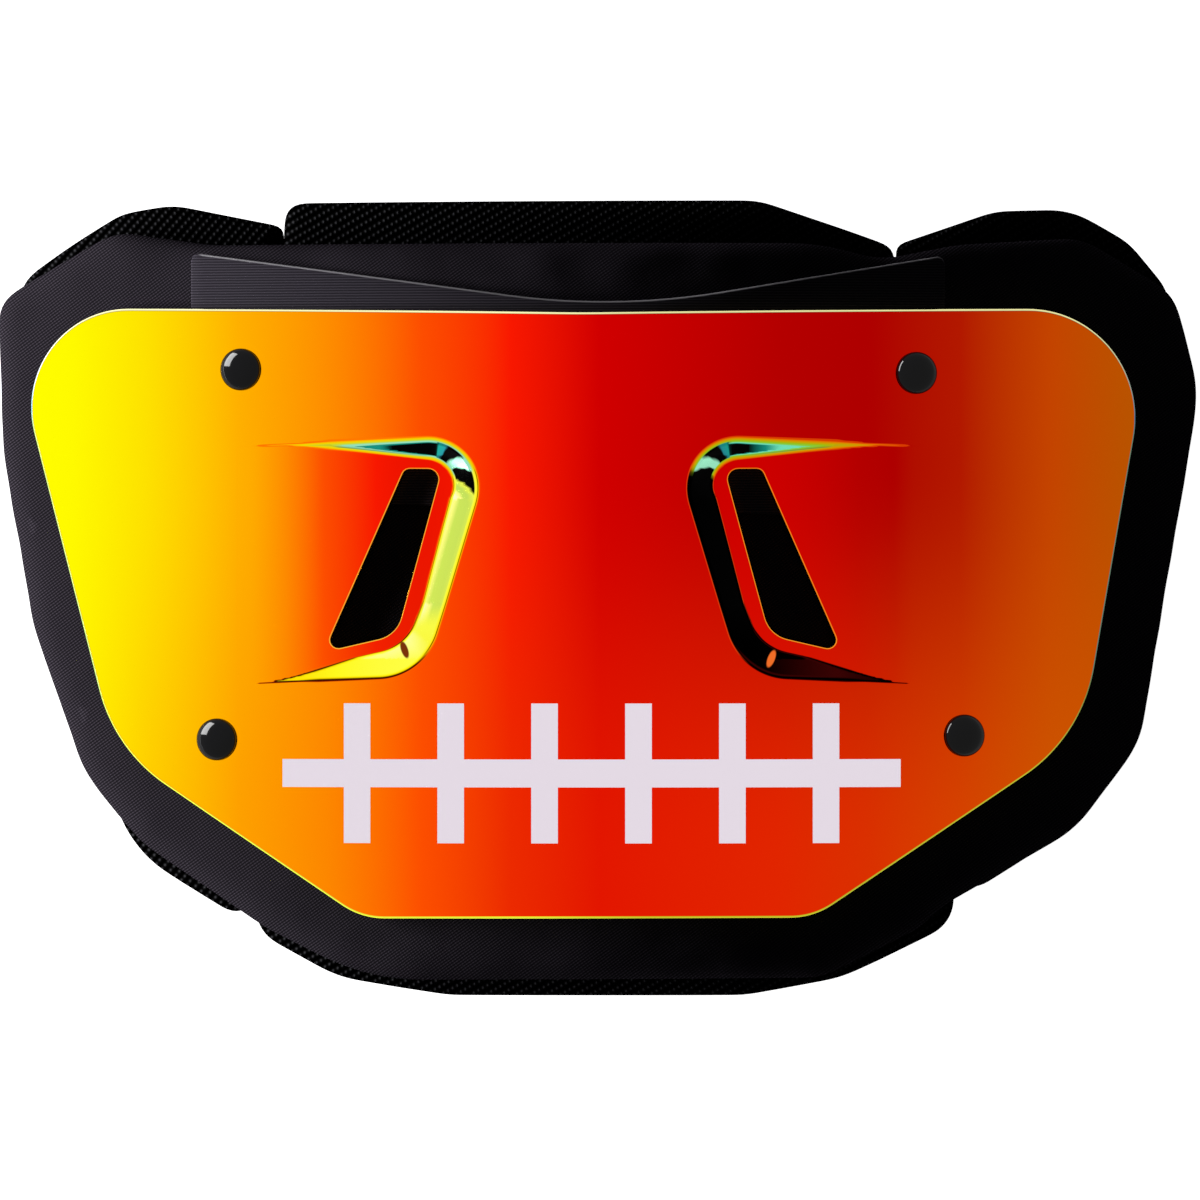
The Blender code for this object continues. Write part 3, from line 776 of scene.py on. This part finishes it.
# The cover pad: foam in a sewn case of black nylon twill, larger than the plate all round, that the plate,
# the strap and the rivets press flat in its middle.
PAD_HALF_WIDTH = 183.0
COVER_CORNERS = (
    (-0.998, 0.843, 0.90),
    (-0.802, 1.026, 1.20),
    (-0.637, 0.986, 4.00),
    (0.360, 0.989, 6.00),
    (0.463, 0.945, 2.00),
    (0.591, 0.987, 3.00),
    (0.799, 1.009, 1.40),
    (0.953, 0.860, 1.20),
    (0.997, 0.599, 4.00),
    (0.896, -0.358, 3.00),
    (0.789, -0.594, 3.00),
    (0.564, -0.801, 4.00),
    (0.527, -0.859, 2.00),
    (0.366, -0.990, 1.50),
    (-0.379, -0.996, 8.00),
    (-0.548, -0.860, 2.00),
    (-0.753, -0.635, 2.50),
    (-0.849, -0.456, 4.00),
    (-0.939, -0.040, 5.00),
    (-0.990, 0.437, 5.00),
)
COVER_FRONT = 4.6
COVER_FOAM = 12.0
COVER_EDGE = 8.0
CREASES = 0.7


def corner_ease(loop, edge, reach=4):
    """How much of its rounded edge a pad keeps at each point of its outline: less at a tight sewn corner."""
    before, after = loop - np.roll(loop, reach), np.roll(loop, -reach) - loop
    turn = np.abs(np.angle(after / before))
    radius = (abs(before) + abs(after)) / 2 / np.maximum(turn, 1e-3)
    ease = np.clip(radius / (1.25 * edge), 0.3, 1.0)
    for _ in range(3):
        ease = (np.roll(ease, 1) + ease + np.roll(ease, -1)) / 3
    return ease


def pad_profile(edge, turns=4):
    angles = np.linspace(math.pi / 2, -math.pi / 2, 2 * turns + 1)
    return [(edge * (1 - math.cos(a)), 0.5 - 0.5 * math.sin(a)) for a in angles]


def fill_with_air(pad, held, pressure, most):
    """Blows the pad up as cloth, held where a neighbour presses on it.

    Its sewn outline keeps its place, and the foam under the cloth evens out lone dents.
    """
    mesh = pad.data
    rest = points_of(mesh)
    grip = pad.vertex_groups.new(name="held")
    grip.add(np.flatnonzero(held).tolist(), 1.0, "REPLACE")
    cloth = pad.modifiers.new("cloth", "CLOTH")
    cloth.settings.vertex_group_mass = "held"
    cloth.settings.use_pressure = True
    cloth.settings.uniform_pressure_force = pressure
    cloth.settings.effector_weights.gravity = 0.0
    cloth.settings.tension_stiffness = 8.0
    cloth.settings.compression_stiffness = 8.0
    cloth.settings.bending_stiffness = 0.1
    cloth.collision_settings.use_collision = False
    for frame_number in range(1, 21):
        bpy.context.scene.frame_set(frame_number)
    plan, depth = plan_place(rest)
    puffed = plan_place(points_of(pad.evaluated_get(bpy.context.evaluated_depsgraph_get()).data))[1]
    pad.modifiers.remove(cloth)
    pad.vertex_groups.remove(grip)
    bpy.context.scene.frame_set(1)
    swelling = np.clip(puffed - depth, -most, most)
    ends = np.empty(2 * len(mesh.edges), np.int32)
    mesh.edges.foreach_get("vertices", ends)
    ends = np.concatenate([ends.reshape(-1, 2), ends.reshape(-1, 2)[:, ::-1]])
    neighbours = np.bincount(ends[:, 0], minlength=len(rest))
    for _ in range(4):
        near = np.bincount(ends[:, 0], swelling[ends[:, 1]], len(rest)) / neighbours
        swelling = (swelling + near) / 2
    blown = on_arch(plan, depth + swelling * ~held)
    set_points(mesh, blown)
    return blown


def set_points(mesh, points):
    mesh.vertices.foreach_set("co", points.ravel())
    mesh.update()


def finer(pad, levels=1):
    cut = pad.modifiers.new("finer", "SUBSURF")
    cut.levels = cut.render_levels = levels


nylon = new_finish("nylon twill", Roughness=0.62, Specular_IOR_Level=0.0)
nylon_shader = nylon.node_tree.nodes["Principled BSDF"]
nylon_place = drawn_place(nylon)
turned = node(nylon, "VectorRotate", {"Vector": nylon_place, "Angle": math.radians(-35)}, rotation_type="Z_AXIS")
warp = node(
    nylon,
    "TexWave",
    {"Vector": turned.outputs[0], "Scale": 400.0, "Distortion": 0.6, "Detail": 1.0},
    wave_type="BANDS",
    bands_direction="Y",
)
weft = node(
    nylon,
    "TexWave",
    {"Vector": turned.outputs[0], "Scale": 330.0, "Distortion": 0.6, "Detail": 1.0},
    wave_type="BANDS",
    bands_direction="X",
)
twill = sum_of(nylon, "MULTIPLY", warp.outputs[1], sum_of(nylon, "MULTIPLY_ADD", weft.outputs[1], 0.5, 0.5))
patches = node(nylon, "TexNoise", {"Vector": nylon_place, "Scale": 30.0, "Detail": 3.0})
nylon_dye = run_of_dyes(nylon, twill, ((0.0, (10, 9, 11)), (0.35, (20, 18, 22)), (1.0, (42, 38, 44))))
nylon.node_tree.links.new(nylon_dye, nylon_shader.inputs["Base Color"])
twill_bump = node(nylon, "Bump", {"Strength": 0.35, "Distance": 0.0002, "Height": twill})
wide_bump = node(
    nylon, "Bump", {"Strength": 0.25, "Distance": 0.002, "Height": patches.outputs[0], "Normal": twill_bump.outputs[0]}
)
nylon.node_tree.links.new(wide_bump.outputs[0], nylon_shader.inputs["Normal"])

cover_middle = COVER_FRONT + COVER_FOAM / 2
cover_loop = at_depth(
    rounded(COVER_CORNERS, (0.0, -3.5), (PAD_HALF_WIDTH, 112.0), 12.0, 3.2), cover_middle
)
cover, _ = add_shell(
    "cover_pad_case",
    [cover_loop],
    [pad_profile(COVER_EDGE)],
    lambda points: COVER_FRONT + scoop_depth(points, 3.5),
    lambda points: COVER_FRONT + COVER_FOAM + 0 * points.real,
    4.0,
    nylon,
    ease=corner_ease(cover_loop, COVER_EDGE),
)
cover_plan, cover_depth = plan_place(points_of(cover.data))
under = (inside(cover_plan, plate_loop)[0] > -1.0) | (inside(cover_plan, strap_loop)[0] > -1.0)
pressed = (under & (cover_depth < cover_middle)) | (cover_depth > COVER_FRONT + COVER_FOAM - 1.0)
blown_depth = plan_place(fill_with_air(cover, pressed, 4.0, 2.5))[1]
creased = np.array([noise.noise(Vector((p.real / 16, p.imag / 11, 4.3))) for p in cover_plan])
loose = np.clip(-inside(cover_plan, plate_loop)[0] / 10, 0, 1) * (cover_depth < cover_middle)
set_points(cover.data, on_arch(cover_plan, blown_depth + CREASES * creased * loose))
finer(cover)
lay_down(cover, "cover_pad")

# The three back pads: thick foam in a coarse ribbed mesh cloth, sewn to the back of the cover pad with a
# channel between each two, and pressed flat where the side pads rest.
LEFT_CHANNEL, RIGHT_CHANNEL = (-0.519, -0.570), (0.486, 0.590)
BACK_CORNERS = {
    "left": (
        (-0.968, 0.805, 1.00),
        (-0.790, 0.979, 1.20),
        (-0.706, 0.999, 2.00),
        (LEFT_CHANNEL[0], 0.940, 0.15),
        (LEFT_CHANNEL[1], -0.832, 0.50),
        (-0.777, -0.639, 3.00),
        (-0.837, -0.357, 3.00),
        (-0.950, 0.455, 4.00),
    ),
    "center": (
        (LEFT_CHANNEL[0], 1.000, 0.45),
        (0.264, 1.005, 2.00),
        (RIGHT_CHANNEL[0], 0.889, 0.40),
        (RIGHT_CHANNEL[1], -0.820, 1.00),
        (0.400, -0.958, 3.00),
        (0.240, -1.001, 3.00),
        (-0.249, -1.001, 3.00),
        (-0.433, -0.957, 3.00),
        (LEFT_CHANNEL[1], -0.842, 1.00),
    ),
    "right": (
        (RIGHT_CHANNEL[0], 0.893, 0.20),
        (0.653, 0.982, 2.00),
        (0.780, 0.989, 2.00),
        (0.879, 0.906, 1.50),
        (0.946, 0.787, 1.20),
        (0.962, 0.506, 4.00),
        (0.866, -0.257, 4.00),
        (0.800, -0.568, 3.00),
        (RIGHT_CHANNEL[1], -0.768, 0.50),
    ),
}
BACK_FRONT = 16.9
BACK_FOAM = 11.5
BACK_EDGE = 6.5


def ribbed_mesh(side, slant):
    """A cloth of coarse ribs, knitted open, that run up to the right at a slant, with painted glints on them."""
    cloth = new_finish("ribbed mesh cloth " + side, Roughness=0.8, Specular_IOR_Level=0.0)
    settings = {"Vector": drawn_place(cloth), "Angle": math.radians(-slant)}
    slanted = node(cloth, "VectorRotate", settings, rotation_type="Z_AXIS").outputs[0]
    waves = {"Vector": slanted, "Scale": 140.0, "Distortion": 0.3, "Detail": 1.0}
    ribs = node(cloth, "TexWave", waves, wave_type="BANDS", bands_direction="Y").outputs[1]
    waves["Scale"] = 196.0
    glint_dots = node(cloth, "TexWave", waves, wave_type="BANDS", bands_direction="X").outputs[1]
    knit = sum_of(cloth, "MULTIPLY", ribs, sum_of(cloth, "MULTIPLY_ADD", glint_dots, 0.6, 0.4))
    # The palest stops are painted glints on the black knit.
    stops = ((0.0, (0, 0, 0)), (0.35, (2, 2, 2)), (0.65, (11, 11, 12)), (1.0, (32, 32, 34)))
    shader = cloth.node_tree.nodes["Principled BSDF"]
    cloth.node_tree.links.new(run_of_dyes(cloth, knit, stops), shader.inputs["Base Color"])
    relief = node(cloth, "Bump", {"Strength": 0.8, "Distance": 0.0008, "Height": knit})
    cloth.node_tree.links.new(relief.outputs[0], shader.inputs["Normal"])
    return cloth


RIB_SLANTS = {"left": 48.0, "center": 30.0, "right": 30.0}

for side, corners in BACK_CORNERS.items():
    loop = rounded(corners, (0.0, 0.0), (PAD_HALF_WIDTH, 120.0), 12.0, 3.0)
    loop = inset(at_depth(loop, BACK_FRONT + BACK_FOAM / 2), 0.2)

    def back_depth(points):
        within = np.maximum(inside(points, loop)[0], 0)
        return BACK_FRONT + BACK_FOAM - 2.0 * np.maximum(0, 1 - within / (3 * BACK_EDGE)) ** 2

    pad, _ = add_shell(
        "back_pad_" + side + "_case",
        [loop],
        [pad_profile(BACK_EDGE)],
        lambda points: BACK_FRONT + 0 * points.real,
        back_depth,
        4.0,
        ribbed_mesh(side, RIB_SLANTS[side]),
        ease=corner_ease(loop, BACK_EDGE),
    )
    blown = fill_with_air(pad, plan_place(points_of(pad.data))[1] < BACK_FRONT + 1.0, 4.0, 3.0)
    laid = blown @ np.array(lie.to_3x3()).T + np.array(lie.translation)
    laid[:, 2] = np.maximum(laid[:, 2], 0.0003)
    lifted = lie.inverted()
    set_points(pad.data, laid @ np.array(lifted.to_3x3()).T + np.array(lifted.translation))
    finer(pad)
    lay_down(pad, "back_pad_" + side)

# The print on the plate: the laces of a ball in white ink, one long bar and its short cross bars.
INK = new_finish("white ink", Base_Color=dye(234, 224, 234), Metallic=0.95, Roughness=0.45)
LACE_MIDDLE = (-2.4, -52.5)
LACE_LONG, LACE_WIDE = 93.0, 4.2
CROSS_WIDE, CROSS_LONG, CROSS_COUNT = 4.0, 21.0, 6


def lace_loop():
    """Round the long bar, and out and back round each cross bar."""
    ends = [-LACE_LONG]
    for k in range(CROSS_COUNT):
        centre = (k - (CROSS_COUNT - 1) / 2) * 2 * LACE_LONG / (CROSS_COUNT + 0.6)
        ends += [centre - CROSS_WIDE, centre + CROSS_WIDE]
    ends.append(LACE_LONG)
    upper = [complex(ends[0], -LACE_WIDE)]
    for left, right in zip(ends[1:-1:2], ends[2:-1:2]):
        upper += [
            complex(left, -LACE_WIDE),
            complex(left, -CROSS_LONG),
            complex(right, -CROSS_LONG),
            complex(right, -LACE_WIDE),
        ]
    upper.append(complex(ends[-1], -LACE_WIDE))
    whole = np.array(upper + [-p for p in upper]) + complex(*LACE_MIDDLE)
    steps = []
    for a, b in zip(whole, np.roll(whole, -1)):
        count = max(1, round(abs(b - a) / 2.0))
        steps += [a + (b - a) * k / count for k in range(count)]
    return np.array(steps)


laces, _ = add_shell(
    "laces_print",
    [lace_loop()],
    [[(0.0, 0.0), (0.0, 1.0)]],
    lambda points: -0.10 + 0 * points.real,
    lambda points: -0.02 + 0 * points.real,
    2.6,
    INK,
)
laces.data.shade_flat()
laces.data.transform(lie)
shade_from_soft_box(laces)
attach(laces, "root")
